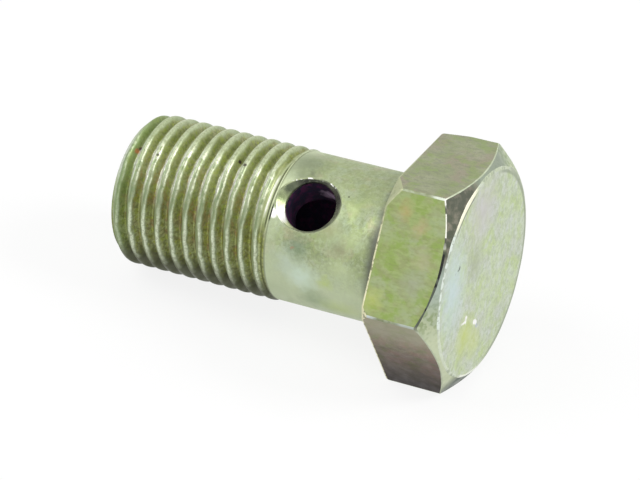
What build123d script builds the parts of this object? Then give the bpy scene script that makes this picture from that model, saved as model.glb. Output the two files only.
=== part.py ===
from build123d import *
from math import atan2, cos, degrees, radians, sin, tan
import os

# Banjo bolt M10 x 1: a hex head, a plain shank with one oil hole straight across it, a fine thread
# that runs to the tip, and an oil bore drilled from the tip to beyond the cross hole.
#
# It is modelled on its own axis as it would be turned: the bearing face under the head is at Z = 0,
# the head is below, the tip points to +Z and the oil hole runs along Y. At the end rest_plane lays
# the finished part on a table, on one flat of its head.

# --- driving dimensions: millimetres and degrees ---

# hex head
across_flats = 14.0
head_height = 4.7
crown_circle_d = 13.4  # flat circle that the crown chamfer leaves on the outer face
crown_chamfer_angle = 35.0  # measured from the outer face

# plain shank
shank_d = 9.8
plain_length = 8.25  # from the bearing face to where the thread dies out
root_chamfer = 0.25  # stiffening cone in the corner between the shank and the bearing face

# thread
length_under_head = 19.5
thread_d = 10.0
thread_pitch = 1.0
thread_flank_angle = 30.0  # half of the 60 degree profile
crest_width = 0.24
root_width = 0.12
runout_length = 1.4  # over which the groove gets shallower towards the shank
crest_phase = 0.30  # where a crest stands on the +X side, modulo the pitch
tip_chamfer = 0.55  # at 45 degrees

# oil bore along the axis
bore_d = 4.5
bore_end = 4.0  # from the bearing face to the end of the bore's full diameter
drill_point_angle = 118.0
bore_mouth_chamfer = 0.5

# oil hole across the shank
cross_hole_d = 3.3
cross_hole_from_face = 6.0
cross_hole_turn = 39.7  # from the head's upper flat round to the hole's mouth
cross_sink_d = 4.4
cross_sink_angle = 90.0

# --- sizes that follow ---

upper_flat_angle = cross_hole_turn - 90  # the mouth is at -Y
head_corner_r = across_flats / 2 / cos(radians(30))
shank_r = shank_d / 2
thread_r = thread_d / 2
bore_r = bore_d / 2

# one turn of the thread is a crest, a root and two flanks
flank_slope = tan(radians(thread_flank_angle))
thread_depth = (thread_pitch - crest_width - root_width) / 2 / flank_slope
root_r = thread_r - thread_depth
ridge_bed = 0.08 * thread_pitch  # how deep the ridge is sunk in its core
crest_half = crest_width / 2
base_half = crest_half + (thread_depth + ridge_bed) * flank_slope

# the thread is made longer than the bolt at both ends and then trimmed
spare = 1.5 * thread_pitch
turns_to_tip = int((length_under_head + spare) / thread_pitch)
ridge_end = crest_phase + turns_to_tip * thread_pitch
turns_to_shank = int((plain_length - spare) / thread_pitch)
ridge_start = crest_phase + turns_to_shank * thread_pitch
core_start = ridge_start - spare
core_end = ridge_end + spare

# --- thread ---

with BuildPart() as thread:
    with BuildSketch(Plane.XY.offset(core_start)):
        Circle(root_r)
    extrude(amount=core_end - core_start)

    # one ridge of the thread's own section, wound round the core
    with BuildLine() as winding:
        Helix(
            pitch=thread_pitch,
            height=ridge_end - ridge_start,
            radius=root_r,
            center=(0, 0, ridge_start),
        )
    winding_start = Plane(
        origin=winding.line @ 0, x_dir=(1, 0, 0), z_dir=winding.line % 0
    )
    with BuildSketch(winding_start):
        with BuildLine():
            Polyline(
                (thread_depth, -crest_half),
                (thread_depth, crest_half),
                (-ridge_bed, base_half),
                (-ridge_bed, -base_half),
                close=True,
            )
        make_face()
    sweep(path=winding.line, is_frenet=True)

    # tip: cut to length, with a 45 degree chamfer across the last turns
    trim = 2 * (thread_r + spare)
    with BuildSketch(Plane.XZ):
        with BuildLine():
            Polyline(
                (0, length_under_head),
                (thread_r - tip_chamfer, length_under_head),
                (trim, length_under_head + thread_r - tip_chamfer - trim),
                (trim, core_end + trim),
                (0, core_end + trim),
                close=True,
            )
        make_face()
    revolve(axis=Axis.Z, mode=Mode.SUBTRACT)

    # shank end: cut off flat inside the shank, with a 45 degree lead from the shank to the crest
    with BuildSketch(Plane.XZ):
        with BuildLine():
            Polyline(
                (0, core_start - spare),
                (trim, core_start - spare),
                (trim, plain_length + trim - shank_r),
                (shank_r, plain_length),
                (0, plain_length),
                close=True,
            )
        make_face()
    revolve(axis=Axis.Z, mode=Mode.SUBTRACT)

# --- bolt on its own axis ---

with BuildPart() as bolt:
    # head: a hexagon, chamfered round its outer face; its bearing side is left sharp
    with BuildSketch(Plane.XY.offset(-head_height)):
        RegularPolygon(across_flats / 2, 6, major_radius=False, rotation=upper_flat_angle + 30)
    extrude(amount=head_height)

    turned_r = head_corner_r + 1
    crown_drop = (turned_r - crown_circle_d / 2) * tan(radians(crown_chamfer_angle))
    with BuildSketch(Plane.XZ):
        with BuildLine():
            Polyline(
                (0, 0),
                (turned_r, 0),
                (turned_r, crown_drop - head_height),
                (crown_circle_d / 2, -head_height),
                (0, -head_height),
                close=True,
            )
        make_face()
    revolve(axis=Axis.Z, mode=Mode.INTERSECT)

    # shank, with the cone under the last groove that makes the thread die out
    with BuildSketch(Plane.XZ):
        with BuildLine():
            Polyline(
                (0, 0),
                (shank_r, 0),
                (shank_r, plain_length),
                (root_r - ridge_bed, plain_length + runout_length),
                (0, plain_length + runout_length),
                close=True,
            )
        make_face()
    revolve(axis=Axis.Z)
    head_corner = (
        edges()
        .filter_by(GeomType.CIRCLE)
        .filter_by_position(Axis.Z, -0.001, 0.001)
        .sort_by(SortBy.RADIUS)[0]
    )
    chamfer(head_corner, root_chamfer)

    # oil hole: straight across, countersunk where it comes out on either side
    sink_slope = tan(radians(cross_sink_angle / 2))
    sink_depth = (cross_sink_d - cross_hole_d) / 2 / sink_slope
    reach = shank_r + 1
    across = Plane(origin=(0, 0, cross_hole_from_face), x_dir=(0, 0, 1), z_dir=(1, 0, 0))
    with BuildSketch(across):
        with BuildLine():
            Polyline(
                (0, -reach),
                (cross_sink_d / 2 + sink_slope, -reach),
                (cross_hole_d / 2, sink_depth - shank_r),
                (cross_hole_d / 2, shank_r - sink_depth),
                (cross_sink_d / 2 + sink_slope, reach),
                (0, reach),
                close=True,
            )
        make_face()
    revolve(axis=Axis(across.origin, across.y_dir), mode=Mode.SUBTRACT)

    add(thread.part)

    # oil bore: blind, with a drill point, and chamfered at its mouth
    point_length = bore_r / tan(radians(drill_point_angle / 2))
    with BuildSketch(Plane.XZ):
        with BuildLine():
            Polyline(
                (0, bore_end - point_length),
                (bore_r, bore_end),
                (bore_r, length_under_head - bore_mouth_chamfer),
                (bore_r + bore_mouth_chamfer, length_under_head),
                (bore_r + bore_mouth_chamfer, length_under_head + spare),
                (0, length_under_head + spare),
                close=True,
            )
        make_face()
    revolve(axis=Axis.Z, mode=Mode.SUBTRACT)

# --- bolt at rest ---

# It lies on one flat's edge at the bearing face and on the last full turns of the thread, so its tip
# is lower than its head. The origin stays at the middle of the bearing face, and the hole's mouth
# beside the upper flat is on the -Y side.
rest_tilt = degrees(atan2(across_flats / 2 - thread_r, length_under_head - tip_chamfer))
to_tip = Vector(-cos(radians(rest_tilt)), 0, -sin(radians(rest_tilt)))
to_upper_flat = Vector(-sin(radians(rest_tilt)), 0, cos(radians(rest_tilt)))
bolt_x = to_upper_flat.rotate(Axis((0, 0, 0), to_tip), -upper_flat_angle)
rest_plane = Plane(origin=(0, 0, 0), x_dir=bolt_x, z_dir=to_tip)

with BuildPart() as banjo_bolt:
    with Locations(rest_plane):
        add(bolt.part)

os.makedirs("parts", exist_ok=True)
banjo_bolt.part.label = "banjo_bolt"
export_step(banjo_bolt.part, "parts/banjo_bolt.step")
print(f"rest tilt {rest_tilt:.3f} degrees")
print(f"volume {banjo_bolt.part.volume:.1f} mm3, solids {len(banjo_bolt.part.solids())}")
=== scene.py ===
from math import atan2, cos, pi, radians, sin, tan

import bmesh
import bpy
import numpy as np
from mathutils import Matrix, Vector, noise


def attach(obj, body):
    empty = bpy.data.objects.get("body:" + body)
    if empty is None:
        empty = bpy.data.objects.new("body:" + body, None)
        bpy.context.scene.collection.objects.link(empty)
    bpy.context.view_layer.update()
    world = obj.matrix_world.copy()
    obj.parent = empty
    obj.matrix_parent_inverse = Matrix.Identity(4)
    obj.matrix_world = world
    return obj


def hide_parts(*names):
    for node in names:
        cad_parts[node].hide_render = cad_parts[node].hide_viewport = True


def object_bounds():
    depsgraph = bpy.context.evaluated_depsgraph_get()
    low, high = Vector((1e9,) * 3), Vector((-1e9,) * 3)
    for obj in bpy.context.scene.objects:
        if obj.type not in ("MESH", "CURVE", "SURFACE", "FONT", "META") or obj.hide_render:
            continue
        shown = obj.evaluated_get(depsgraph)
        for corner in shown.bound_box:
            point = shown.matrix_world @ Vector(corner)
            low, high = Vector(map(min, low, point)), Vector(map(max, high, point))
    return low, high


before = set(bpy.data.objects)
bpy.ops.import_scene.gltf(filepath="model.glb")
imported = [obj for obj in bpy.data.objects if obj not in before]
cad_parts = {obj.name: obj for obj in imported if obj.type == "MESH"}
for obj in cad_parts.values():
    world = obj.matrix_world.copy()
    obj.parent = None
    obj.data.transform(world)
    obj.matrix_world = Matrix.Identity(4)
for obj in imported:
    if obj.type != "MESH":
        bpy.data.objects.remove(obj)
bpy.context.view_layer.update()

# The bolt is built in its own turning frame, in millimetres, and then laid in the row frame:
# the bearing face is at z = 0, the head is below it, the tip is at +z, and +x is the normal of the
# head's upper flat. Angles run round the axis from +x: the front flat is at -60 degrees, the lower
# one at -120.

# --- sizes of the model, in millimetres ---

MM = 0.001  # in metres

ACROSS_FLATS = 14.0
HEAD_HEIGHT = 4.7
CROWN_CIRCLE_R = 6.7
CROWN_SLOPE = tan(radians(35))

SHANK_R = 4.9
PLAIN_LENGTH = 8.25
ROOT_CHAMFER = 0.25

LENGTH = 19.5  # from the bearing face to the tip
THREAD_R = 5.0
PITCH = 1.0
FLANK_SLOPE = tan(radians(30))
CREST_HALF = 0.12
ROOT_HALF = 0.06
THREAD_DEPTH = (PITCH / 2 - CREST_HALF - ROOT_HALF) / FLANK_SLOPE
RUNOUT_LENGTH = 1.4
CREST_PHASE = 0.163  # where a crest stands on the +x side, modulo the pitch
TIP_CHAMFER = 0.55

BORE_R = 2.25
BORE_END = 4.0
DRILL_POINT = 1.35
BORE_MOUTH_CHAMFER = 0.5

HOLE_R = 1.65
HOLE_Z = 6.0
HOLE_ANGLE = radians(-39.7)
SINK_R = 2.2
SINK_SLOPE = tan(radians(45))

REST_TILT = atan2(ACROSS_FLATS / 2 - THREAD_R, LENGTH - TIP_CHAMFER)
TO_TIP = Vector((-cos(REST_TILT), 0, -sin(REST_TILT)))
TO_UPPER_FLAT = Vector((-sin(REST_TILT), 0, cos(REST_TILT)))
BOLT_AXES = np.array([TO_UPPER_FLAT, Vector((0, 1, 0)), TO_TIP])

# --- the looks that the surfaces have ---

LOOKS = (
    "shank thread tip lip sink bore bearing rim corner"
    " top_flat front_flat low_flat back_flat crown_edge crown face_edge face"
).split()
SHANK, THREAD, TIP, LIP, SINK, BORE, BEARING, RIM, CORNER = range(9)
TOP_FLAT, FRONT_FLAT, LOW_FLAT, BACK_FLAT, CROWN_EDGE, CROWN, FACE_EDGE, FACE = range(9, 17)

# the flat that follows each corner, counted round from the corner at 30 degrees
FLATS = (BACK_FLAT, BACK_FLAT, BACK_FLAT, LOW_FLAT, FRONT_FLAT, TOP_FLAT)

# --- small geometry helpers ---

# in metres: points closer than the first become one, and edges shorter than the second go
WELD_REACH = 2e-7
SHORTEST_EDGE = 1e-7


def smooth_max(a, b, width):
    """The larger of the two, rounded over about that width where they cross."""
    return (a + b + np.sqrt((a - b) ** 2 + width**2)) / 2


def smooth_min(a, b, width):
    """The smaller of the two, rounded in the same way."""
    return (a + b - np.sqrt((a - b) ** 2 + width**2)) / 2


def eased(count):
    """Positions from 0 to 1, closer together towards both ends."""
    return (1 - np.cos(np.linspace(0, pi, count))) / 2


def straight(start, end, shares):
    """Rows of points at these shares of the way from start to end."""
    return start + (end - start) * shares[:, None, None]


def bend(start, corner, end, count):
    """Rows of points over a rounded corner: a curve that leaves start towards corner."""
    t = np.linspace(0, 1, count)[:, None, None]
    return (1 - t) ** 2 * start + 2 * t * (1 - t) * corner + t**2 * end


def around(angles, radii, heights):
    """Points at each angle, for radii and heights given as rows x columns."""
    return np.stack([radii * np.cos(angles), radii * np.sin(angles), heights], axis=-1)


class Shell:
    """Collects grids of points into one mesh, with a material for each grid."""

    def __init__(self):
        self.points = []
        self.faces = []
        self.looks = []
        self.count = 0

    def add_grid(self, points, look, keep=None):
        """points is rows x columns x 3; look is one number, or one for each column."""
        rows, columns, _ = points.shape
        look = np.broadcast_to(look, (rows - 1, columns))
        index = self.count + np.arange(rows * columns).reshape(rows, columns)
        right = np.roll(index, -1, axis=1)
        quads = np.stack([index[:-1], right[:-1], right[1:], index[1:]], axis=-1)
        if keep is not None:
            quads, look = quads[keep], look[keep]
        self.points.append(points.reshape(-1, 3))
        self.faces.append(quads.reshape(-1, 4))
        self.looks.append(look.ravel())
        self.count += rows * columns

    def build(self, name, materials):
        points = np.concatenate(self.points)
        faces = np.concatenate(self.faces)
        mesh = bpy.data.meshes.new(name)
        mesh.from_pydata((points * MM).tolist(), [], faces.tolist())
        mesh.polygons.foreach_set("material_index", np.concatenate(self.looks).astype(np.int32))
        for material in materials:
            mesh.materials.append(material)
        weld(mesh)
        mesh.shade_smooth()
        return mesh


def weld(mesh):
    """Joins the grids where they meet and turns every face outwards."""
    work = bmesh.new()
    work.from_mesh(mesh)
    bmesh.ops.remove_doubles(work, verts=work.verts, dist=WELD_REACH)
    bmesh.ops.dissolve_degenerate(work, edges=work.edges, dist=SHORTEST_EDGE)
    bmesh.ops.recalc_face_normals(work, faces=work.faces)
    work.to_mesh(mesh)
    work.free()


# --- shank, thread, oil hole and bore ---

COLUMNS = 240
ANGLES = HOLE_ANGLE - pi / 2 + np.arange(COLUMNS) * 2 * pi / COLUMNS
# the two mouths of the oil hole: the column at its middle, and its angle
MOUTHS = ((COLUMNS // 4, HOLE_ANGLE), (3 * COLUMNS // 4, HOLE_ANGLE + pi))

# the plain shank: its root goes on inside the head, and a window round each mouth is left open
INSIDE_HEAD = 0.6
SHANK_ROWS = 16
SHANK_WINDOW_START = 3.45
SHANK_WINDOW_ROWS = 40
SHANK_WINDOW_HALF = 22  # in columns

# how far the roundings of the countersink's outer edge and of its foot reach from the edge; the
# foot's goes twice as far down the wall
LIP_ROUND = 0.045
FOOT_ROUND = 0.05
RIM_TRIES = 30  # enough for the outer edge's radius to settle
# rows of points on the shank round the countersink, and then down the hole
SKIRT_ROWS, LIP_ROWS, CONE_ROWS, FOOT_ROWS, WALL_ROWS = 12, 6, 6, 5, 14

# the thread, and how softly its edges are rounded
THREAD_ROWS = 20  # to a pitch
CREST_SOFT = 0.05
ROOT_SOFT = 0.12
RUNOUT_SOFT = 0.05
LEAD_SOFT = 0.03
TIP_SOFT = 0.08

# the tip's flat end, with shares of the way from its edge to the bore's mouth, and the bore
TIP_SHARES = np.array([0, 0.03, 0.3, 0.6, 0.9, 1])
MOUTH_BREAK = 0.05
BORE_ROWS = 29
BORE_WINDOW_REACH = 1.9
BORE_WINDOW_ROWS = 38
BORE_WINDOW_HALF = 36  # in columns
OPENING_ROWS = 6
DRILL_POINT_R = 0.02


def turned(profile):
    """The grid that a profile of (radius, height) points makes round the axis."""
    profile = np.array(profile)
    return around(ANGLES, profile[:, :1] + 0 * ANGLES, profile[:, 1:] + 0 * ANGLES)


def on_cylinder(radius, sideways):
    """How high a cylinder stands at a distance to the side of the hole's axis."""
    return np.sqrt(radius**2 - sideways**2)


def hole_point(hole_angle, sideways, along, height):
    """A point beside the oil hole's axis, at a height from the bolt's axis."""
    x = height * cos(hole_angle) - sideways * sin(hole_angle)
    y = height * sin(hole_angle) + sideways * cos(hole_angle)
    return np.stack([x, y, HOLE_Z + along], axis=-1)


def window_ring(radius, zs, column, half, rows, hole_angle):
    """The cylinder's own points round a mouth's window, as (sideways, along)."""
    first, last = rows
    left, right = column - half, column + half
    ring = [(first, c) for c in range(left, right)]
    ring += [(r, right) for r in range(first, last)]
    ring += [(last, c) for c in range(right, left, -1)]
    ring += [(r, left) for r in range(last, first, -1)]
    ring_rows, ring_columns = np.array(ring).T
    return radius * np.sin(ANGLES[ring_columns] - hole_angle), zs[ring_rows] - HOLE_Z


def add_pierced(shell, radius, zs, half, rows, look):
    """A cylinder with a window at each mouth. Returns each mouth's angle and window ring."""
    keep = np.ones((len(zs) - 1, COLUMNS), bool)
    for column, _ in MOUTHS:
        keep[rows[0] : rows[1], column - half : column + half] = False
    shell.add_grid(turned([(radius, z) for z in zs]), look, keep)
    return [(angle, window_ring(radius, zs, column, half, rows, angle)) for column, angle in MOUTHS]


def rings_to_circle(window, circle_r, cylinder_r, hole_angle, shares):
    """Rings on a cylinder, from its window's outline to a circle round the hole's axis."""
    side, along = window
    turn = np.arctan2(along, side)
    rings = []
    for t in shares:
        sideways = (1 - t) * side + t * circle_r * np.cos(turn)
        lengthways = (1 - t) * along + t * circle_r * np.sin(turn)
        height = on_cylinder(cylinder_r, sideways)
        rings.append(hole_point(hole_angle, sideways, lengthways, height))
    return np.array(rings)


def sink_rim(turn, seat):
    """The countersink's outer radius at each turn round the hole, where it meets the shank."""
    rim = np.full_like(turn, SINK_R)
    for _ in range(RIM_TRIES):
        rim = HOLE_R + (on_cylinder(SHANK_R, rim * np.cos(turn)) - seat) * SINK_SLOPE
    return rim


def add_sunk_hole(shell, window, hole_angle):
    """The countersunk mouth of the oil hole and its wall down to the bore."""
    side, along = window
    turn = np.arctan2(along, side)
    seat = SHANK_R - (SINK_R - HOLE_R) / SINK_SLOPE

    def at(rho, height):
        return hole_point(hole_angle, rho * np.cos(turn), rho * np.sin(turn), height)

    def on_shank(rho):
        return at(rho, on_cylinder(SHANK_R, rho * np.cos(turn)))

    rim = sink_rim(turn, seat)
    outer, inner = rim + LIP_ROUND, rim - LIP_ROUND
    skirt = rings_to_circle(window, outer, SHANK_R, hole_angle, eased(SKIRT_ROWS))
    shell.add_grid(skirt, SHANK)
    cone_top = at(inner, seat + (inner - HOLE_R) / SINK_SLOPE)
    shell.add_grid(bend(on_shank(outer), on_shank(rim), cone_top, LIP_ROWS), LIP)
    cone_foot = at(HOLE_R + FOOT_ROUND, seat + FOOT_ROUND / SINK_SLOPE)
    shell.add_grid(straight(cone_top, cone_foot, np.linspace(0, 1, CONE_ROWS)), SINK)
    wall_top = at(HOLE_R, seat - 2 * FOOT_ROUND)
    shell.add_grid(bend(cone_foot, at(HOLE_R, seat), wall_top, FOOT_ROWS), SINK)
    wall_end = at(HOLE_R, on_cylinder(BORE_R, HOLE_R * np.cos(turn)))
    shell.add_grid(straight(wall_top, wall_end, np.linspace(0, 1, WALL_ROWS)), BORE)


def add_plain_shank(shell):
    """The cone at the shank's root, the shank itself and both mouths of the oil hole."""
    cone_r = SHANK_R + ROOT_CHAMFER
    root = [(SHANK_R, -INSIDE_HEAD), (cone_r, -INSIDE_HEAD), (cone_r, 0), (SHANK_R, ROOT_CHAMFER)]
    shell.add_grid(turned(root), SHANK)
    below = np.linspace(ROOT_CHAMFER, SHANK_WINDOW_START, SHANK_ROWS + 1)[:-1]
    beside = np.linspace(SHANK_WINDOW_START, PLAIN_LENGTH, SHANK_WINDOW_ROWS + 1)
    zs = np.concatenate([below, beside])
    rows = (SHANK_ROWS, SHANK_ROWS + SHANK_WINDOW_ROWS)
    for angle, window in add_pierced(shell, SHANK_R, zs, SHANK_WINDOW_HALF, rows, SHANK):
        add_sunk_hole(shell, window, angle)


def thread_radius(angle, z):
    """The thread's outside, with its run-out and lead at the shank and its chamfer at the tip."""
    turns = (z - CREST_PHASE) / PITCH - angle / (2 * pi)
    off_crest = np.abs(turns - np.round(turns)) * PITCH
    depth = (off_crest - CREST_HALF) / FLANK_SLOPE
    depth = smooth_min(smooth_max(depth, 0, CREST_SOFT), THREAD_DEPTH, ROOT_SOFT)
    runout = SHANK_R - (z - PLAIN_LENGTH) * THREAD_DEPTH / RUNOUT_LENGTH
    radius = smooth_max(THREAD_R - depth, runout, RUNOUT_SOFT)
    radius = smooth_min(radius, SHANK_R + (z - PLAIN_LENGTH), LEAD_SOFT)
    return smooth_min(radius, THREAD_R - TIP_CHAMFER + (LENGTH - z), TIP_SOFT)


def add_thread_and_tip(shell):
    """The thread and the flat ring at its end."""
    rows = int((LENGTH - PLAIN_LENGTH) / PITCH * THREAD_ROWS)
    zs = np.linspace(PLAIN_LENGTH, LENGTH, rows + 1)[:, None] + 0 * ANGLES
    radii = thread_radius(ANGLES, zs)
    radii[0] = SHANK_R
    shell.add_grid(around(ANGLES, radii, zs), THREAD)
    mouth_r = BORE_R + BORE_MOUTH_CHAMFER
    ring = radii[-1] + (mouth_r - radii[-1]) * TIP_SHARES[:, None]
    shell.add_grid(around(ANGLES, ring, LENGTH + 0 * ring), TIP)


def add_bore(shell):
    """The bore with its chamfered mouth, its two openings into the oil hole and its drill point."""
    chamfer_end = LENGTH - BORE_MOUTH_CHAMFER
    mouth_r = BORE_R + BORE_MOUTH_CHAMFER
    mouth = [
        (mouth_r, LENGTH),
        (mouth_r - MOUTH_BREAK, LENGTH - MOUTH_BREAK),
        (BORE_R + MOUTH_BREAK, chamfer_end + MOUTH_BREAK),
        (BORE_R, chamfer_end),
    ]
    shell.add_grid(turned(mouth), TIP)
    window_start, window_end = HOLE_Z + BORE_WINDOW_REACH, HOLE_Z - BORE_WINDOW_REACH
    above = np.linspace(chamfer_end, window_start, BORE_ROWS + 1)[:-1]
    beside = np.linspace(window_start, window_end, BORE_WINDOW_ROWS + 1)
    zs = np.concatenate([above, beside, [BORE_END]])
    rows = (BORE_ROWS, BORE_ROWS + BORE_WINDOW_ROWS)
    for angle, window in add_pierced(shell, BORE_R, zs, BORE_WINDOW_HALF, rows, BORE):
        shares = np.linspace(0, 1, OPENING_ROWS)
        shell.add_grid(rings_to_circle(window, HOLE_R, BORE_R, angle, shares), BORE)
    point = [
        (BORE_R, BORE_END),
        (BORE_R / 2, BORE_END - DRILL_POINT / 2),
        (DRILL_POINT_R, BORE_END - DRILL_POINT),
    ]
    shell.add_grid(turned(point), BORE)


def shank_shell():
    shell = Shell()
    add_plain_shank(shell)
    add_thread_and_tip(shell)
    add_bore(shell)
    return shell


# --- head ---

CORNER_ROUND = 0.18
CORNER_STEPS = 10
FLAT_STEPS = 40

# The bearing side is sharp, but each corner of it is worn back to its own distance from the axis,
# counted round from the corner at 30 degrees. That one's wear is steep and looks like its flats.
WORN_CORNER_R = np.array([7.82, 7.9, 7.85, 7.95, 7.8, 7.5])
EDGE_BREAK = 0.06
EDGE_SLOPE = 1.43  # fall along the axis to a millimetre outwards
STEEP_SLOPE = 10
WORN_SLOPE = np.array([STEEP_SLOPE] + [EDGE_SLOPE] * 5)

BEARING_START = SHANK_R - 0.5  # inside the shank

# roundings of the edges between the head's surfaces, and their unevenness
RIM_ROUND = 0.1
CROWN_EDGE_ROUND = 0.05
WORN_CROWN_ROUND = 0.1
WORN_CROWN_SECTOR = (-92, -50)  # degrees
FACE_EDGE_ROUND = 0.12
ROUNDING_ROWS = 6
ROUNDING_LIMIT = 0.45  # share of the shorter surface beside the edge
WEAR_SCALE = 0.9  # features to a millimetre
WEAR_AMOUNT = 0.5
NOISE_PLACE = Vector((7.3, 3.1, 5.7))
NO_LENGTH = 1e-9

# rows over the bearing face, its broken edge, the sides and the crown, and over the outer face
SURFACE_ROWS = (6, 5, 30, 8)
FACE_ROWS = 110

# dents in the outer face: x, y, half length along x, and half width
FACE_NICKS = ((-2.10, -2.53, 0.26, 0.09), (-2.95, -1.25, 0.14, 0.12))
NICK_DEPTH = 0.07
# the bright metal that the dents bared beside them, painted white as glints: x, y and radius
FACE_GLINTS = (
    (-2.0, -2.47, 0.13),
    (-2.12, -2.58, 0.13),
    (-2.17, -2.74, 0.11),
    (-2.15, -2.92, 0.09),
    (-2.1, -3.12, 0.08),
    (-2.97, -1.13, 0.16),
    (-3.12, -0.98, 0.15),
)


def corner_centre(angle):
    """The middle of a corner's rounding."""
    distance = (ACROSS_FLATS / 2 - CORNER_ROUND) / cos(radians(30))
    return distance * np.array([cos(angle), sin(angle)])


def head_outline():
    """The hexagon with its corners just broken, as points in order round the axis."""
    outline = []
    for k in range(6):
        corner = radians(30 + 60 * k)
        turns = corner + radians(30) * np.linspace(-1, 1, CORNER_STEPS + 1)
        rounding = CORNER_ROUND * np.stack([np.cos(turns), np.sin(turns)], axis=-1)
        start = corner_centre(corner) + rounding[-1]
        end = corner_centre(corner + radians(60)) + rounding[-1]
        outline.append(corner_centre(corner) + rounding)
        outline.append(start + (end - start) * eased(FLAT_STEPS + 1)[1:-1, None])
    return np.concatenate(outline)


def head_section(reach, nearest_corner):
    """Points (radius, height) from the bearing face to the outer one, for each outline point."""
    zero = 0 * reach
    worn_r = np.minimum(WORN_CORNER_R[nearest_corner], reach - EDGE_BREAK)
    worn_drop = (reach - EDGE_BREAK - worn_r) * WORN_SLOPE[nearest_corner]
    edge_height = -(EDGE_BREAK * EDGE_SLOPE + worn_drop)
    crown_height = -HEAD_HEIGHT + (reach - CROWN_CIRCLE_R) * CROWN_SLOPE
    face_height = zero - HEAD_HEIGHT
    radii = [zero + BEARING_START, worn_r, reach, reach, zero + CROWN_CIRCLE_R, zero]
    heights = [zero, zero, edge_height, crown_height, face_height, face_height]
    return np.stack([radii, heights], axis=-1)


def edge_wear(outline):
    """How much stronger or weaker than usual the roundings are at each outline point."""
    places = [Vector((x, y, 0)) * WEAR_SCALE + NOISE_PLACE for x, y in outline]
    return 1 + WEAR_AMOUNT * np.array([noise.noise(place) for place in places])


def rounding_ends(start, edge, following, radius):
    """Where the rounding of an edge leaves the surface before it and meets the one after it."""
    length = np.linalg.norm(edge - start, axis=1, keepdims=True)
    room = np.linalg.norm(following - edge, axis=1, keepdims=True)
    cut = np.minimum(radius[:, None], ROUNDING_LIMIT * np.minimum(length, room))
    before = edge - (edge - start) / np.maximum(length, NO_LENGTH) * cut
    after = edge + (following - edge) / np.maximum(room, NO_LENGTH) * cut
    return before, after


def dent(points):
    """How deep each point lies in the face's dents, 0 to 1."""
    depth = np.zeros(len(points))
    for x, y, length, width in FACE_NICKS:
        away = (points - np.array([x, y, -HEAD_HEIGHT])) / np.array([length, width, width])
        depth = np.maximum(depth, np.exp(-(away**2).sum(axis=1)))
    return depth


def head_shell():
    shell = Shell()
    outline = head_outline()
    angles = np.arctan2(outline[:, 1], outline[:, 0])
    degrees = np.degrees(angles)
    nearest_corner = np.round((degrees - 30) / 60).astype(int) % 6
    section = head_section(np.hypot(outline[:, 0], outline[:, 1]), nearest_corner)
    sides = np.concatenate([[CORNER] * CORNER_STEPS + [flat] * FLAT_STEPS for flat in FLATS])
    worn_look = np.where(WORN_SLOPE[nearest_corner] > EDGE_SLOPE, sides, RIM)
    surface_looks = (BEARING, worn_look, sides, CROWN)
    edge_looks = (RIM, worn_look, CROWN_EDGE, FACE_EDGE)
    worn_from, worn_to = WORN_CROWN_SECTOR
    crown_worn = (worn_from < degrees) & (degrees < worn_to)
    crown_round = np.where(crown_worn, WORN_CROWN_ROUND, CROWN_EDGE_ROUND)
    rounds = (RIM_ROUND, RIM_ROUND, crown_round, FACE_EDGE_ROUND)
    wear = edge_wear(outline)

    def add_rows(rows, look):
        shell.add_grid(around(angles, rows[..., 0], rows[..., 1]), look)

    begin = section[0]
    for k, count in enumerate(SURFACE_ROWS):
        before, after = rounding_ends(*section[k : k + 3], rounds[k] * wear)
        add_rows(straight(begin, before, eased(count + 1)), surface_looks[k])
        add_rows(bend(before, section[k + 1], after, ROUNDING_ROWS), edge_looks[k])
        begin = after
    rows = straight(begin, section[-1], eased(FACE_ROWS + 1))
    face = around(angles, rows[..., 0], rows[..., 1])
    face[..., 2] += NICK_DEPTH * dent(face.reshape(-1, 3)).reshape(face.shape[:2])
    shell.add_grid(face, FACE)
    return shell


# --- shader nodes ---

# a Mix node's colour sockets, which share their names with its other sockets
MIX_UNDER, MIX_OVER, MIX_RESULT = 6, 7, 2


def add_node(tree, kind, inputs=None, **settings):
    """A new node; inputs has a socket to link or a value to set for each input it names."""
    node = tree.nodes.new(kind)
    for key, setting in settings.items():
        setattr(node, key, setting)
    for key, value in (inputs or {}).items():
        if isinstance(value, bpy.types.NodeSocket):
            tree.links.new(value, node.inputs[key])
        else:
            node.inputs[key].default_value = value
    return node


def add_math(tree, operation, *values):
    """The result of a Math node on sockets and numbers."""
    return add_node(tree, "ShaderNodeMath", dict(enumerate(values)), operation=operation).outputs[0]


def tint(red, green, blue):
    """A colour as the screen shows it, 0 to 255, turned to the linear one that a shader takes."""
    shares = [level / 255 for level in (red, green, blue)]
    return (*[c / 12.92 if c <= 0.04045 else ((c + 0.055) / 1.055) ** 2.4 for c in shares], 1)


# the clouds that make the outlines of patches ragged, in features to a millimetre
RAGGED_SCALE = 2.2
RAGGED_DETAIL = 4
# where in the noise the paints' clouds are taken from
CLOUD_PLACE = (7.7, 3.3, 5.1)
SPECK_SOFT = 0.3  # share of a speck's radius over which it fades, inwards and outwards
# the fine tooth of the surface, and how its roughness wanders
GRAIN_SCALE = 9.0
GRAIN_DEPTH = 0.004
ROUGH_SCALE = 1.1
ROUGH_RAMP = (0.3, 0.7)
ROUGH_SWING = 0.12


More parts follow.
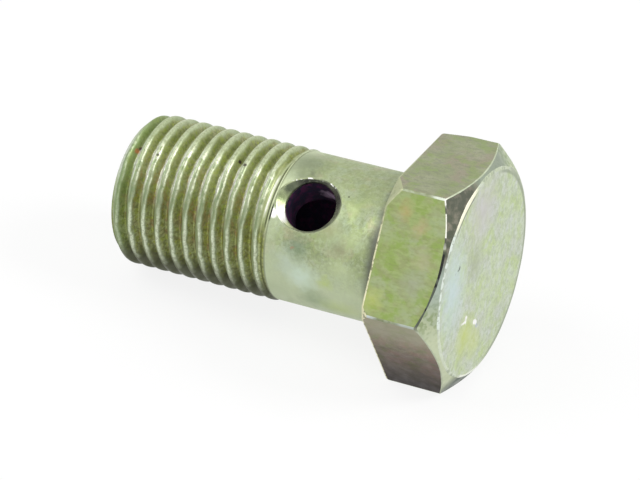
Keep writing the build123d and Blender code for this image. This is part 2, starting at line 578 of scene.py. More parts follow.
class Paint:
    """A material whose colour is laid on in layers, placed by the bolt's own millimetres."""

    def __init__(self, name, base, roughness, metallic, shake=1.0):
        self.material = bpy.data.materials.new("zinc_" + name)
        self.material.use_nodes = True
        self.tree = self.material.node_tree
        self.shader = self.tree.nodes["Principled BSDF"]
        self.shader.inputs["Base Color"].default_value = tint(*base)
        self.shader.inputs["Metallic"].default_value = metallic
        self.shader.inputs["Roughness"].default_value = roughness
        self.under = tint(*base)
        self.place = self.add("ShaderNodeAttribute", attribute_name="bolt_place").outputs["Vector"]
        clouds = {"Vector": self.place, "Scale": RAGGED_SCALE, "Detail": RAGGED_DETAIL}
        cloud = self.add("ShaderNodeTexNoise", clouds).outputs["Color"]
        shaken = self.vector_math("MULTIPLY_ADD", cloud, (shake,) * 3, self.place).outputs[0]
        self.ragged = self.vector_math("SUBTRACT", shaken, (shake / 2,) * 3).outputs[0]

    def add(self, kind, inputs=None, **settings):
        return add_node(self.tree, kind, inputs, **settings)

    def math(self, operation, *values):
        return add_math(self.tree, operation, *values)

    def vector_math(self, operation, *values):
        return self.add("ShaderNodeVectorMath", dict(enumerate(values)), operation=operation)

    def layer(self, colour, *masks):
        """Lays a colour over what is there, where all the masks let it through."""
        inputs = {"Factor": self.all_of(*masks), MIX_UNDER: self.under, MIX_OVER: tint(*colour)}
        self.under = self.add("ShaderNodeMix", inputs, data_type="RGBA").outputs[MIX_RESULT]
        self.tree.links.new(self.under, self.shader.inputs["Base Color"])

    # masks and what they are made from

    def ramp(self, value, start, end, strength=1.0):
        """0 at start, strength at end."""
        inputs = {"Value": value, "From Min": start, "From Max": end, "To Max": strength}
        return self.add("ShaderNodeMapRange", inputs).outputs["Result"]

    def band(self, value, start, end, strength=1.0, soft=0.04):
        """A mask over the values from start to end."""
        opens = self.ramp(value, start - soft, start + soft)
        closes = self.ramp(value, end + soft, end - soft, strength)
        return self.all_of(opens, closes)

    def all_of(self, mask, *others):
        """The masks multiplied."""
        for other in others:
            mask = self.math("MULTIPLY", mask, other)
        return mask

    def noise(self, scale, detail=3, stretch=(1, 1, 1)):
        """Cloudy noise; scale is in features to a millimetre, less along a stretched axis."""
        inputs = {
            "Vector": self.place,
            "Scale": [scale / s for s in stretch],
            "Location": [scale * shift for shift in CLOUD_PLACE],
        }
        place = self.add("ShaderNodeMapping", inputs).outputs["Vector"]
        clouds = {"Vector": place, "Scale": 1, "Detail": detail}
        return self.add("ShaderNodeTexNoise", clouds).outputs["Fac"]

    def far(self, centre, stretch=(1, 1, 1)):
        """Distance from a point, in millimetres, with a ragged edge."""
        shrunk = self.vector_math("MULTIPLY", self.ragged, [1 / s for s in stretch]).outputs[0]
        centre = [c / s for c, s in zip(centre, stretch)]
        return self.vector_math("DISTANCE", shrunk, centre).outputs["Value"]

    def height(self, place):
        """Height along the axis."""
        return self.add("ShaderNodeSeparateXYZ", {0: place}).outputs["Z"]

    def radius(self):
        """Distance from the bolt's axis."""
        flat = self.vector_math("MULTIPLY", self.place, (1, 1, 0)).outputs[0]
        return self.vector_math("LENGTH", flat).outputs["Value"]

    def angle(self, place):
        """Angle round the bolt's axis, in radians."""
        parts = self.add("ShaderNodeSeparateXYZ", {0: place}).outputs
        return self.math("ARCTAN2", parts["Y"], parts["X"])

    def sector(self, start, end, strength=1.0, soft=2.0):
        """A ragged mask over the angles from start to end round the bolt's axis, in degrees."""
        angle = self.angle(self.ragged)
        return self.band(angle, radians(start), radians(end), strength, radians(soft))

    def nick_depth(self):
        """How deep the dents of the face are here, 0 to 1."""
        return self.add("ShaderNodeAttribute", attribute_name="nick").outputs["Fac"]

    # kinds of layer

    def mottle(self, colour, scale, start, end, strength, stretch=(1, 1, 1)):
        """Clouds of a colour: none where the noise is under start, full strength from end on."""
        self.layer(colour, self.ramp(self.noise(scale, stretch=stretch), start, end, strength))

    def spot(self, centre, radius, colour, strength=1.0, soft=0.5, stretch=(1, 1, 1)):
        """A ragged patch that fades over the share soft of its radius, inwards and outwards."""
        outside, inside = radius * (1 + soft), radius * (1 - soft)
        self.layer(colour, self.ramp(self.far(centre, stretch), outside, inside, strength))

    def hole_spot(self, place, radius, colour, strength=1.0, soft=0.5):
        """A spot at the oil hole; place is (sideways, along, height), as in hole_point."""
        self.spot(hole_point(HOLE_ANGLE, *place), radius, colour, strength, soft)

    def speck(self, centre, radius, colour, strength=1.0):
        """A small spot with a clean outline."""
        away = self.vector_math("DISTANCE", self.place, centre).outputs["Value"]
        outside, inside = radius * (1 + SPECK_SOFT), radius * (1 - SPECK_SOFT)
        self.layer(colour, self.ramp(away, outside, inside, strength))

    def grain(self, stretch=(1, 1, 1)):
        """The finish: a fine tooth on the surface, and a roughness that wanders."""
        tooth = self.noise(GRAIN_SCALE, 4, stretch)
        inputs = {"Strength": 1, "Distance": GRAIN_DEPTH * MM, "Height": tooth}
        normal = self.add("ShaderNodeBump", inputs).outputs["Normal"]
        self.tree.links.new(normal, self.shader.inputs["Normal"])
        middle = self.shader.inputs["Roughness"].default_value
        inputs = {
            "Value": self.ramp(self.noise(ROUGH_SCALE, 2), *ROUGH_RAMP),
            "To Min": middle - ROUGH_SWING,
            "To Max": middle + ROUGH_SWING,
        }
        level = self.add("ShaderNodeMapRange", inputs).outputs["Result"]
        self.tree.links.new(level, self.shader.inputs["Roughness"])
        return self.material


# --- materials ---

# patches on the plain shank: centre, radius, colour, strength, softness, and stretch if it has one
SHANK_PATCHES = (
    ((0.3, -4.89, 6.7), 0.7, (200, 214, 196), 0.7, 0.8),
    ((-0.6, -4.86, 5.6), 0.8, (214, 232, 214), 0.85, 0.8),
    ((1.5, -4.66, 5.95), 0.6, (128, 148, 118), 0.7, 0.8),
    ((1.45, -4.68, 6.3), 0.15, (186, 140, 116), 0.7, 0.5),
    ((-2.4, -4.28, 4.9), 0.8, (140, 162, 126), 0.55, 0.9),
    ((2.4, -4.27, 3.6), 0.8, (186, 202, 156), 0.6, 0.8),
    ((2.9, -3.95, 4.2), 0.5, (158, 158, 122), 0.6, 0.8, (1, 1, 1.6)),
    ((1.9, -4.52, 3.2), 0.4, (150, 148, 116), 0.6, 0.8),
    ((2.5, -4.21, 2.2), 0.6, (194, 208, 158), 0.6, 0.8),
    ((0.7, -4.85, 2.9), 0.7, (206, 220, 172), 0.6, 0.8),
    ((-2.6, -4.1, 3.2), 0.6, (204, 220, 140), 0.5, 0.9, (1, 1, 1.8)),
    ((-0.5, -4.8, 3.9), 0.35, (198, 216, 130), 0.6, 0.9),
    ((4.1, -2.7, 2.8), 0.8, (140, 156, 100), 0.6, 0.8),
)

# specks on the thread: centre, radius, colour and strength; dark ones, and rust near the tip
THREAD_SPECKS = (
    ((4.4, -1.31, 11.75), 0.13, (40, 26, 14), 1),
    ((4.37, -1.42, 11.9), 0.12, (60, 36, 20), 0.9),
    ((4.63, -1.88, 11.09), 0.12, (44, 34, 20), 0.9),
    ((4.4, -2.3, 15.5), 0.1, (60, 48, 30), 0.9),
    ((4.25, -2.6, 17.0), 0.1, (60, 56, 34), 0.9),
    ((3.96, -2.29, 18.7), 0.16, (176, 108, 58), 0.85),
    ((3.88, -2.38, 18.86), 0.16, (160, 112, 66), 0.7),
    ((4.06, -2.22, 18.62), 0.12, (150, 100, 60), 0.7),
    ((4.0, -2.01, 18.57), 0.13, (66, 40, 22), 1),
)

# how far the lines along the crests wander, in millimetres, at each scale of noise
WANDER = ((0.8, 0.3), (2.5, 0.06))


def shank_paint():
    paint = Paint("shank", (166, 180, 132), 0.5, 0.5)
    paint.mottle((158, 174, 114), 0.5, 0.44, 0.56, 0.6)
    paint.mottle((184, 170, 150), 0.8, 0.5, 0.6, 0.5)
    paint.mottle((178, 190, 172), 1.1, 0.48, 0.6, 0.6)
    paint.mottle((146, 158, 112), 2.0, 0.48, 0.6, 0.6, stretch=(2, 2, 1))
    paint.mottle((184, 196, 158), 3.4, 0.5, 0.6, 0.6)
    paint.mottle((138, 146, 112), 5.5, 0.5, 0.62, 0.5)
    paint.mottle((142, 152, 116), 11, 0.45, 0.7, 0.4)
    # painted light and shade: paler towards the underside and darker on top
    paint.layer((210, 222, 186), paint.sector(-170, -88, 0.8, 14))
    paint.layer((148, 158, 116), paint.sector(-34, 20, 0.35, 10))
    for patch in SHANK_PATCHES:
        paint.spot(*patch)
    # a dark speck on the head's side of the hole, and dull shade at the upper side of its mouth
    paint.speck((4.38, -2.2, 3.62), 0.07, (90, 92, 70), 0.8)
    paint.hole_spot((1.75, 1.35, 4.57), 0.32, (112, 120, 94), 0.8, 0.8)
    paint.hole_spot((2.1, 0.6, 4.43), 0.26, (116, 122, 98), 0.8, 0.8)
    shank_ends(paint)
    return paint.grain()


def shank_ends(paint):
    """The shank where it meets the thread, with painted shade and painted highlights, and where it
    meets the head, with a painted shadow.
    """
    z = paint.height(paint.place)
    paint.layer((200, 212, 176), paint.ramp(paint.height(paint.ragged), 6.8, 7.8, 0.5))
    paint.spot((4.87, -0.3, 7.5), 1.1, (120, 130, 102), 0.7, 0.7)
    # a painted shaded ring where the shank meets the thread
    paint.layer((110, 116, 84), paint.band(z, 8.16, 8.3, 0.6, 0.03))
    # painted highlight: the white strip between the hole and the thread; painted shade: the dark
    # line behind it
    for sideways, along in ((-1.0, 2.06), (-1.2, 2.0)):
        paint.speck(hole_point(HOLE_ANGLE, sideways, along, 4.75), 0.22, (255, 255, 248))
    line = paint.band(z, 8.14, 8.25, 1, 0.02)
    paint.layer((24, 28, 12), line, paint.sector(-58, -47, 1, 2))
    # painted shadow of the head on the shank near its root
    paint.layer((94, 96, 88), paint.ramp(z, 1.5, 0.95, 0.8))


def across_crest(paint):
    """Distance along the axis from the nearest crest, in pitches, more than 0 towards the tip."""
    z = paint.height(paint.place)
    unwound = paint.math("MULTIPLY_ADD", paint.angle(paint.place), -PITCH / (2 * pi), z)
    for scale, amount in WANDER:
        unwound = paint.math("MULTIPLY_ADD", paint.noise(scale, 2), amount, unwound)
    middle = CREST_PHASE + sum(amount for _, amount in WANDER) / 2
    turns = paint.math("MULTIPLY_ADD", unwound, 1 / PITCH, 0.5 - middle / PITCH)
    return paint.math("SUBTRACT", paint.math("FRACT", turns), 0.5)


def thread_valleys(paint, across, z):
    """The flanks and grooves: a lighter flank below, which is painted light, and rust."""
    # painted light: the lower sector and its flanks lighter
    lower = paint.sector(-114, -74, 0.8, 8)
    paint.layer((176, 184, 116), lower)
    patchy = paint.ramp(paint.noise(1.5, 3, (1.4, 1.4, 1)), 0.49, 0.55, 0.8)
    past_start = paint.ramp(z, 8.6, 9.2)
    paint.layer((148, 112, 68), patchy, paint.sector(-104, -36, 1, 12), past_start)
    paint.layer((200, 210, 156), paint.band(across, -0.4, -0.12, 0.8), lower)
    paint.mottle((160, 172, 48), 2.7, 0.53, 0.58, 0.6)
    paint.mottle((100, 96, 54), 4.4, 0.52, 0.57, 0.6)
    paint.mottle((112, 120, 80), 12, 0.45, 0.7, 0.45)


def thread_crests(paint, across):
    """The crests: a soft grey-green band, and a thin pale line along it above and below, painted as
    highlights.
    """
    paint.layer((156, 172, 136), paint.band(across, -0.22, 0.2, 0.8))
    upper_line = paint.band(across, -0.02, 0.13, 1, 0.03)
    paint.layer((196, 208, 182), upper_line, paint.sector(-30, 40, 0.7, 8))
    lower_line = paint.band(across, -0.17, 0.0, 1, 0.03)
    paint.layer((224, 234, 204), lower_line, paint.sector(-130, -68, 1, 8))


def thread_shine(paint, across):
    """Painted light where the light meets it: a broad painted highlight towards the tip, a thin one
    beside it, and the painted shade between and below them."""
    upper = paint.sector(-22, 30, 0.8, 10)
    paint.layer((188, 198, 158), paint.band(across, -0.2, 0.48, 1, 0.1), upper)
    shaded = paint.band(across, -0.47, -0.2, 0.5)
    paint.layer((108, 122, 56), shaded, paint.sector(-68, 10, 1, 8))
    shine = paint.band(across, 0.1, 0.46, 1, 0.03)
    paint.layer((240, 248, 220), shine, paint.sector(-66, -14, 0.9, 9))
    paint.layer((255, 255, 252), shine, paint.sector(-52, -22, 1, 6))
    second = paint.band(across, -0.17, 0.0, 1, 0.03)
    broken = paint.ramp(paint.noise(2.2), 0.4, 0.5)
    paint.layer((246, 250, 222), second, broken, paint.sector(-58, -20, 1, 8))
    between = paint.band(across, -0.12, 0.05, 0.75, 0.04)
    paint.layer((104, 124, 84), between, paint.sector(-74, -30, 1, 8))
    shaded_below = paint.band(across, 0.03, 0.24, 0.7)
    paint.layer((112, 124, 76), shaded_below, paint.sector(-130, -70, 1, 8))


def thread_start(paint, z):
    """The end at the shank: two bright lines painted as highlights and a dark one painted as shade
    beside the hole, and a dark one below painted as shade.
    """
    beside = paint.sector(-66, -10, 1, 5)
    paint.layer((190, 200, 152), paint.ramp(z, 8.95, 8.7, 0.8), beside)
    glint = paint.band(z, 8.56, 8.72, 1, 0.03)
    paint.layer((255, 255, 246), glint, paint.sector(-54, -22, 1, 5))
    paint.layer((62, 70, 26), paint.band(z, 8.34, 8.47, 0.9, 0.04), beside)
    below = paint.sector(-125, -72, 1, 5)
    paint.layer((84, 90, 48), paint.band(z, 8.4, 8.52, 0.8), below)


def thread_paint():
    paint = Paint("thread", (156, 160, 96), 0.42, 0.4)
    across = across_crest(paint)
    z = paint.height(paint.place)
    paint.mottle((140, 154, 60), 1.3, 0.48, 0.56, 0.7)
    paint.mottle((172, 168, 124), 2.1, 0.5, 0.58, 0.6)
    paint.mottle((104, 110, 54), 3.3, 0.5, 0.58, 0.7)
    thread_valleys(paint, across, z)
    thread_crests(paint, across)
    thread_shine(paint, across)
    paint.mottle((140, 146, 104), 4.9, 0.5, 0.6, 0.4)
    paint.mottle((132, 140, 98), 9.0, 0.5, 0.64, 0.35)
    thread_start(paint, z)
    # the tip's end is greener, and the underside is darker with painted shade
    paint.layer((118, 146, 84), paint.ramp(paint.height(paint.ragged), 17.8, 19.0, 0.5))
    paint.layer((62, 66, 24), paint.sector(-179, -116, 0.93, 10))
    for speck in THREAD_SPECKS:
        paint.speck(*speck)
    return paint.grain()


def sink_paint():
    # a pale base: the freshly cut countersink, painted lighter as a highlight too
    paint = Paint("sink", (214, 222, 186), 0.3, 0.7, 0.4)
    paint.mottle((190, 200, 158), 3.0, 0.48, 0.6, 0.5)
    # duller towards the thread, dark on the upper side as painted shade, grey towards the head
    paint.hole_spot((0.4, 1.8, 4.6), 0.8, (170, 182, 138), 0.9)
    paint.hole_spot((1.5, 1.1, 4.6), 0.7, (92, 98, 80), 0.95)
    paint.hole_spot((1.9, 0.2, 4.5), 1.3, (44, 46, 40), 0.95, 0.4)
    paint.hole_spot((1.1, -1.6, 4.6), 1.0, (96, 92, 92), 0.9)
    paint.hole_spot((-1.3, -1.3, 4.6), 0.9, (150, 156, 130), 0.8)
    paint.mottle((120, 126, 104), 5.0, 0.52, 0.6, 0.4)
    # painted highlight: the bright crescent on the thread's side, yellow at its lower end, dull at
    # the upper one
    paint.hole_spot((-1.8, 1.0, 4.5), 0.5, (236, 246, 190), 0.9)
    paint.hole_spot((0.85, 1.65, 4.55), 0.4, (78, 86, 68), 0.9)
    paint.hole_spot((-0.15, 1.95, 4.65), 0.5, (126, 138, 98), 0.9)
    paint.hole_spot((-1.2, 1.65, 4.6), 0.58, (255, 255, 248), 1, 0.25)
    return paint.grain()


def lip_paint():
    paint = Paint("lip", (152, 162, 126), 0.55, 0.4, 0.4)
    paint.mottle((120, 128, 98), 3.0, 0.48, 0.6, 0.7)
    paint.hole_spot((1.6, 1.6, 4.8), 0.8, (176, 186, 144), 0.9)
    paint.hole_spot((1.7, -1.0, 4.55), 0.8, (96, 102, 84), 0.9)
    # painted highlights: white sparks along the upper side, and the crescent's outer edge
    sparks = paint.ramp(paint.noise(2.4, 2), 0.54, 0.57)
    top = paint.ramp(paint.far(hole_point(HOLE_ANGLE, 2.4, 0.2, 4.4)), 2.2, 1.6)
    paint.layer((255, 255, 250), sparks, top)
    paint.hole_spot((-1.3, 1.8, 4.7), 0.55, (255, 255, 244), 0.95, 0.3)
    return paint.grain()


def bore_paint():
    # painted shade: the bore and the oil hole's wall are dark purple and blue, as their insides lie
    # in shade
    paint = Paint("bore", (46, 34, 56), 0.8, 0)
    paint.shader.inputs["Specular IOR Level"].default_value = 0.15
    paint.mottle((94, 40, 82), 1.5, 0.46, 0.6, 0.7)
    paint.mottle((28, 40, 62), 4.0, 0.5, 0.6, 0.6)
    # a painted reflection: a pale spot on the oil hole's wall
    paint.hole_spot((1.6, -0.3, 2.6), 0.5, (225, 198, 228), 0.95, 0.6)
    return paint.grain()


def top_flat_paint():
    paint = Paint("top_flat", (147, 154, 118), 0.5, 0.5)
    paint.mottle((156, 147, 130), 0.4, 0.45, 0.56, 0.8)
    paint.mottle((138, 158, 94), 1.0, 0.5, 0.6, 0.6)
    paint.mottle((164, 166, 140), 2.0, 0.48, 0.62, 0.6, stretch=(1, 1, 2))
    paint.mottle((126, 130, 106), 4.0, 0.5, 0.64, 0.5, stretch=(1, 1, 2))
    paint.mottle((126, 132, 106), 11, 0.45, 0.7, 0.45)
    return paint.grain(stretch=(1, 1, 3))


def front_flat_paint():
    paint = Paint("front_flat", (152, 169, 108), 0.5, 0.5)
    paint.mottle((162, 173, 136), 0.5, 0.44, 0.56, 0.7)
    paint.mottle((138, 162, 78), 1.1, 0.48, 0.58, 0.7)
    paint.mottle((148, 152, 108), 2.2, 0.48, 0.62, 0.6, stretch=(1, 1, 1.7))
    paint.mottle((164, 178, 120), 4.0, 0.5, 0.64, 0.5, stretch=(1, 1, 2))
    paint.mottle((134, 146, 90), 7, 0.5, 0.66, 0.45, stretch=(1, 1, 2.5))
    # brown towards the upper corner, grey in the middle, yellow at the lower corner
    paint.spot((5.9, -4.7, -1.4), 0.35, (186, 156, 110), 0.5, 0.9, (1.4, 1, 1))
    paint.spot((5.2, -5.1, -2.6), 0.35, (190, 160, 128), 0.5, 0.9)
    paint.spot((3.6, -6.0, -3.2), 0.5, (182, 172, 148), 0.5, 0.9)
    paint.spot((2.2, -6.8, -2.9), 0.6, (160, 164, 144), 0.6, 0.9)
    paint.spot((0.9, -7.5, -0.6), 0.5, (196, 200, 116), 0.5, 0.9)
    return paint.grain(stretch=(1, 1, 3))


def low_flat_paint():
    # the dark base is painted shade, for a flat that faces down
    paint = Paint("low_flat", (132, 122, 102), 0.5, 0.5)
    paint.mottle((140, 110, 98), 0.5, 0.44, 0.56, 0.8)
    paint.mottle((118, 128, 82), 1.1, 0.48, 0.6, 0.7)
    paint.mottle((104, 92, 80), 2.0, 0.48, 0.62, 0.6, stretch=(1, 1, 2))
    paint.mottle((150, 142, 124), 4.0, 0.5, 0.64, 0.5, stretch=(1, 1, 2))
    paint.mottle((92, 84, 72), 11, 0.45, 0.7, 0.45)
    # painted light and shade: pale beside the front flat, darker and darker towards the underside
    paint.layer((184, 184, 154), paint.sector(-106, -70, 0.6, 10))
    paint.layer((62, 50, 44), paint.sector(-175, -124, 0.8, 12))
    paint.layer((34, 26, 24), paint.sector(-175, -140, 0.8, 6))
    return paint.grain(stretch=(1, 1, 3))


def crown_paint():
    paint = Paint("crown", (178, 190, 160), 0.45, 0.5, 0.6)
    paint.mottle((196, 204, 168), 1.4, 0.46, 0.58, 0.6)
    paint.mottle((138, 156, 108), 3.2, 0.48, 0.6, 0.7)
    paint.layer((134, 144, 130), paint.sector(-14, 28, 0.8, 6))
    # painted shade, dark and streaked, from the middle of the front flat up past its corner
    dark = paint.sector(-62, -10, 0.95, 5)
    paint.layer((72, 76, 62), dark)
    streaks = paint.ramp(paint.noise(2.2, 4), 0.46, 0.62, 0.7)
    paint.layer((138, 132, 116), streaks, dark)
    paint.layer((62, 64, 54), paint.sector(-34, -16, 0.5, 5))
    # pale as painted light from there to the lower flat, and grey as painted shade at the underside
    paint.layer((170, 184, 182), paint.sector(-80, -60, 0.6, 5))
    paint.layer((216, 224, 190), paint.sector(-150, -95, 0.75, 6))
    paint.layer((86, 96, 88), paint.sector(-179, -146, 0.9, 5))
    return paint.grain()


def crown_edge_paint():
    paint = Paint("crown_edge", (160, 170, 134), 0.55, 0.3, 0.5)
    paint.mottle((210, 218, 192), 2.0, 0.48, 0.58, 0.8)
    paint.layer((190, 200, 172), paint.sector(-30, 26, 0.6, 3))
    # a broken white line as a painted highlight, and then a broken black one as painted shade down
    # to the corner at -90 degrees
    paint.layer((248, 248, 236), paint.sector(-50, -29, 0.95, 2))
    breaks = paint.ramp(paint.noise(1.1, 1), 0.53, 0.56)
    paint.layer((70, 72, 60), breaks, paint.sector(-50, -31, 0.95, 2))
    paint.layer((14, 16, 14), paint.sector(-90, -52, 1, 2))
    paint.layer((110, 118, 104), breaks, paint.sector(-90, -52, 0.6, 2))
    paint.layer((210, 218, 192), paint.sector(-150, -91, 0.7, 2))
    return paint.grain()


def face_edge_paint():
    paint = Paint("face_edge", (196, 206, 176), 0.4, 0.6, 0.5)
    paint.mottle((218, 226, 210), 2.0, 0.48, 0.6, 0.7)
    # painted highlights: the bright sectors along the near side of the edge
    paint.layer((232, 242, 236), paint.sector(-96, -40, 0.8, 3))
    paint.mottle((150, 160, 136), 3.4, 0.52, 0.6, 0.6)
    paint.layer((255, 252, 226), paint.sector(-40, -12, 0.95, 3))
    paint.layer((226, 234, 214), paint.sector(-130, -96, 0.6, 3))
    paint.layer((246, 250, 236), paint.sector(-176, -150, 0.9, 3))
    # painted shade on the far side of the edge
    paint.layer((150, 160, 134), paint.sector(34, 176, 0.7, 4))
    return paint.grain()


def corner_paint():
    paint = Paint("corner", (148, 156, 120), 0.55, 0.3, 0.5)
    paint.mottle((176, 186, 156), 1.6, 0.5, 0.58, 0.7)
    paint.mottle((134, 144, 106), 4.0, 0.5, 0.62, 0.6)
    # worn, and painted bright as highlights: the corner at -30 degrees at its crown, and the one at
    # -90 at both ends
    paint.spot((7.0, -4.04, -3.4), 0.5, (220, 228, 212), 0.9)
    paint.spot((0.0, -8.0, -0.3), 0.6, (222, 232, 232), 0.9)
    paint.spot((0.0, -8.0, -3.2), 0.7, (196, 206, 196), 0.9)
    return paint.grain()


def rim_paint():
    # the bearing edge: worn, and painted pale as a highlight along it
    paint = Paint("rim", (226, 224, 184), 0.4, 0.5, 0.5)
    paint.mottle((246, 240, 206), 1.5, 0.46, 0.58, 0.7)
    paint.mottle((126, 126, 98), 3.0, 0.52, 0.6, 0.85)
    paint.layer((160, 168, 128), paint.sector(-44, 10, 0.85, 6))
    return paint.grain()


def face_paint():
    paint = Paint("face", (204, 217, 180), 0.5, 0.5)
    paint.mottle((204, 208, 200), 0.5, 0.44, 0.56, 0.7)
    paint.mottle((196, 214, 146), 0.9, 0.47, 0.6, 0.7)
    paint.mottle((214, 220, 216), 1.8, 0.48, 0.6, 0.6)
    paint.mottle((174, 188, 150), 3.4, 0.48, 0.62, 0.5)
    paint.mottle((168, 180, 150), 11, 0.45, 0.7, 0.45)
    # broad patches of blue-white, pale grey, yellow-green and grey, and two dark dots
    paint.spot((1.2, -4.7, -HEAD_HEIGHT), 1.3, (206, 224, 226), 0.8, 0.8, (1.7, 1, 1))
    paint.spot((4.6, -0.4, -HEAD_HEIGHT), 1.5, (206, 202, 202), 0.7, 0.8)
    paint.spot((-3.2, -2.6, -HEAD_HEIGHT), 1.0, (200, 212, 118), 0.8, 0.8)
    paint.spot((-4.4, -1.2, -HEAD_HEIGHT), 0.7, (204, 214, 132), 0.6, 0.8)
    paint.spot((1.4, -1.4, -HEAD_HEIGHT), 0.9, (170, 174, 160), 0.6, 0.9)
    paint.spot((2.22, -3.87, -HEAD_HEIGHT), 0.12, (70, 76, 66), 0.9)
    paint.spot((2.0, -4.35, -HEAD_HEIGHT), 0.08, (70, 76, 66), 0.8)
    # bare metal in and beside the dents, painted white as glints, and a painted blue shadow beside
    # the second
    paint.layer((255, 255, 252), paint.ramp(paint.nick_depth(), 0.12, 0.35))
    for x, y, radius in FACE_GLINTS:
        paint.speck((x, y, -HEAD_HEIGHT), radius, (255, 255, 252))
    paint.speck((-3.4, -0.9, -HEAD_HEIGHT), 0.14, (186, 192, 208), 0.8)
    # painted shade: the outer band is darker on the far side, with a dark line inside the corner at
    # -30 degrees
    radius = paint.radius()
    outer = paint.band(radius, 6.4, 6.8, 0.75, 0.06)
    paint.layer((150, 160, 136), outer, paint.sector(20, 174, 1, 6))
    inner = paint.band(radius, 6.42, 6.52, 0.8, 0.03)
    paint.layer((92, 90, 76), inner, paint.sector(-42, -14, 1, 3))
    return paint.grain()


def plain_paint(name, base):
    """The plating where the photograph doesn't show it."""
    paint = Paint(name, base, 0.45, 0.5)
    paint.mottle([0.9 * level for level in base], 0.8, 0.45, 0.65, 0.5)
    paint.mottle([0.84 * level for level in base], 3.0, 0.5, 0.7, 0.5)
    paint.mottle([0.8 * level for level in base], 10, 0.45, 0.75, 0.45)
    return paint.grain()


def finished_materials():
    """The materials in the order of LOOKS."""
    paints = {
        "shank": shank_paint(),
        "thread": thread_paint(),
        "tip": plain_paint("tip", (170, 182, 142)),
        "lip": lip_paint(),
        "sink": sink_paint(),
        "bore": bore_paint(),
        "bearing": plain_paint("bearing", (150, 158, 124)),
        "rim": rim_paint(),
        "corner": corner_paint(),
        "top_flat": top_flat_paint(),
        "front_flat": front_flat_paint(),
        "low_flat": low_flat_paint(),
        "back_flat": plain_paint("back_flat", (162, 172, 136)),
        "crown_edge": crown_edge_paint(),
        "crown": crown_paint(),
        "face_edge": face_edge_paint(),
        "face": face_paint(),
    }
    return [paints[look] for look in LOOKS]


# --- pieces ---


def put_in_scene(name, data):
    thing = bpy.data.objects.new(name, data)
    bpy.context.scene.collection.objects.link(thing)
    return thing


def lay_in_row_frame(mesh):
    """Turns the mesh from the bolt's own frame to the row's, and keeps for the paints where each
    point was and how deep it lies in a dent."""
    points = np.empty(len(mesh.vertices) * 3)
    mesh.vertices.foreach_get("co", points)
    points = points.reshape(-1, 3)
    kept_place = mesh.attributes.new("bolt_place", "FLOAT_VECTOR", "POINT")
    kept_place.data.foreach_set("vector", (points / MM).astype(np.float32).ravel())
    kept_depth = mesh.attributes.new("nick", "FLOAT", "POINT")
    kept_depth.data.foreach_set("value", dent(points / MM).astype(np.float32))
    mesh.vertices.foreach_set("co", (points @ BOLT_AXES).ravel())
    mesh.update()


def add_piece(name, shell, materials):
    mesh = shell.build(name, materials)
    lay_in_row_frame(mesh)
    piece = put_in_scene(name, mesh)
    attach(piece, "root")
    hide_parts("banjo_bolt")


# --- camera, floor and light ---

CAMERA_PLACE = Vector((58.105, -151.98, 104.509)) * MM
CAMERA_AIM = Vector((-6.559, -0.099, -1.300)) * MM
CAMERA_ROLL = radians(6.690)
CAMERA_LENS = 172.56
SENSOR_WIDTH = 36
CAMERA_CLIP = (0.01, 10)

FLOOR_HALF = 1.5
FLOOR_TONE = 0.95  # as the camera and glossy surfaces see it
FLOOR_BOUNCE = 0.4  # as it lights the bolt from below
FLOOR_GLOW = 0.85
WORLD_LIGHT = 0.55

# name, place, size and power
LAMPS = (
    ("key", (0.42, 0.14, 0.4), 0.24, 1.6),
    ("top", (-0.36, -0.18, 0.46), 0.4, 1.5),
    ("front", (0.25, -0.5, 0.12), 0.5, 0.6),
)


def looking(place, aim):
    """The matrix of a camera or lamp that stands at place and faces aim."""
    turn = (aim - place).to_track_quat("-Z", "Y").to_matrix().to_4x4()
    return Matrix.Translation(place) @ turn


def add_camera():
    data = bpy.data.cameras.new("camera")
    data.lens = CAMERA_LENS
    data.sensor_width = SENSOR_WIDTH
    data.clip_start, data.clip_end = CAMERA_CLIP
    camera = put_in_scene("camera", data)
    camera.matrix_world = looking(CAMERA_PLACE, CAMERA_AIM) @ Matrix.Rotation(CAMERA_ROLL, 4, "Z")
    bpy.context.scene.camera = camera


def seen_directly(tree):
    """1 for camera, glossy and transmission rays, 0 for the rest."""
    path = add_node(tree, "ShaderNodeLightPath").outputs
    seen = add_math(tree, "MAXIMUM", path["Is Camera Ray"], path["Is Glossy Ray"])
    return add_math(tree, "MAXIMUM", seen, path["Is Transmission Ray"])


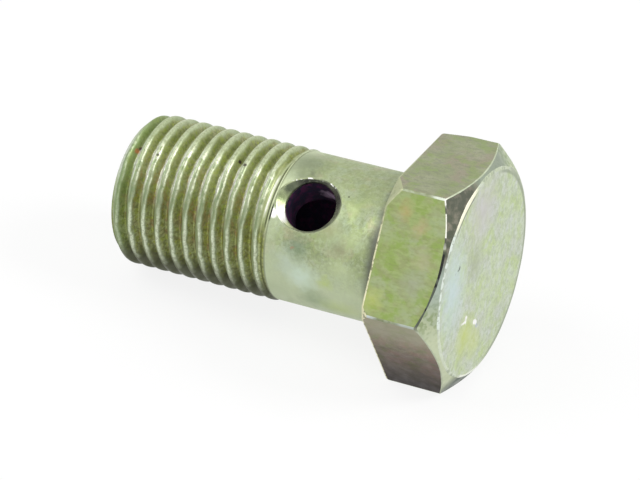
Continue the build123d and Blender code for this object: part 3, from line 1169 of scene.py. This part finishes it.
def floor_material():
    """A pale floor that glows where it is seen, and keeps the bolt's shadow."""
    material = bpy.data.materials.new("floor")
    material.use_nodes = True
    tree = material.node_tree
    shaded = tree.nodes["Principled BSDF"]
    seen = seen_directly(tree)
    inputs = {"Value": seen, "To Min": FLOOR_BOUNCE, "To Max": FLOOR_TONE}
    tone = add_node(tree, "ShaderNodeMapRange", inputs).outputs["Result"]
    tree.links.new(tone, shaded.inputs["Base Color"])
    shaded.inputs["Roughness"].default_value = 1
    shaded.inputs["Specular IOR Level"].default_value = 0
    glow = add_node(tree, "ShaderNodeEmission")
    share = add_math(tree, "MULTIPLY", seen, FLOOR_GLOW)
    inputs = {0: share, 1: shaded.outputs[0], 2: glow.outputs[0]}
    mix = add_node(tree, "ShaderNodeMixShader", inputs)
    tree.links.new(mix.outputs[0], tree.nodes["Material Output"].inputs["Surface"])
    return material


def add_floor():
    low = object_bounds()[0][2]
    sides = ((-FLOOR_HALF, -FLOOR_HALF), (FLOOR_HALF, -FLOOR_HALF))
    corners = [(x, y, low) for x, y in sides] + [(-x, -y, low) for x, y in sides]
    mesh = bpy.data.meshes.new("floor")
    mesh.from_pydata(corners, [], [(0, 1, 2, 3)])
    mesh.materials.append(floor_material())
    floor = put_in_scene("floor", mesh)


def add_light():
    world = bpy.data.worlds.new("world")
    bpy.context.scene.world = world
    world.use_nodes = True
    tree = world.node_tree
    inputs = {"Value": seen_directly(tree), "To Min": WORLD_LIGHT, "To Max": 1}
    strength = add_node(tree, "ShaderNodeMapRange", inputs).outputs["Result"]
    background = tree.nodes["Background"]
    background.inputs["Color"].default_value = (1, 1, 1, 1)
    tree.links.new(strength, background.inputs["Strength"])

    for name, place, size, power in LAMPS:
        data = bpy.data.lights.new(name, "AREA")
        data.size = size
        data.energy = power
        lamp = put_in_scene(name, data)
        lamp.matrix_world = looking(Vector(place), Vector())


bpy.context.scene.view_settings.view_transform = "Standard"
materials = finished_materials()
add_piece("shank", shank_shell(), materials)
add_piece("head", head_shell(), materials)
add_camera()
add_floor()
add_light()
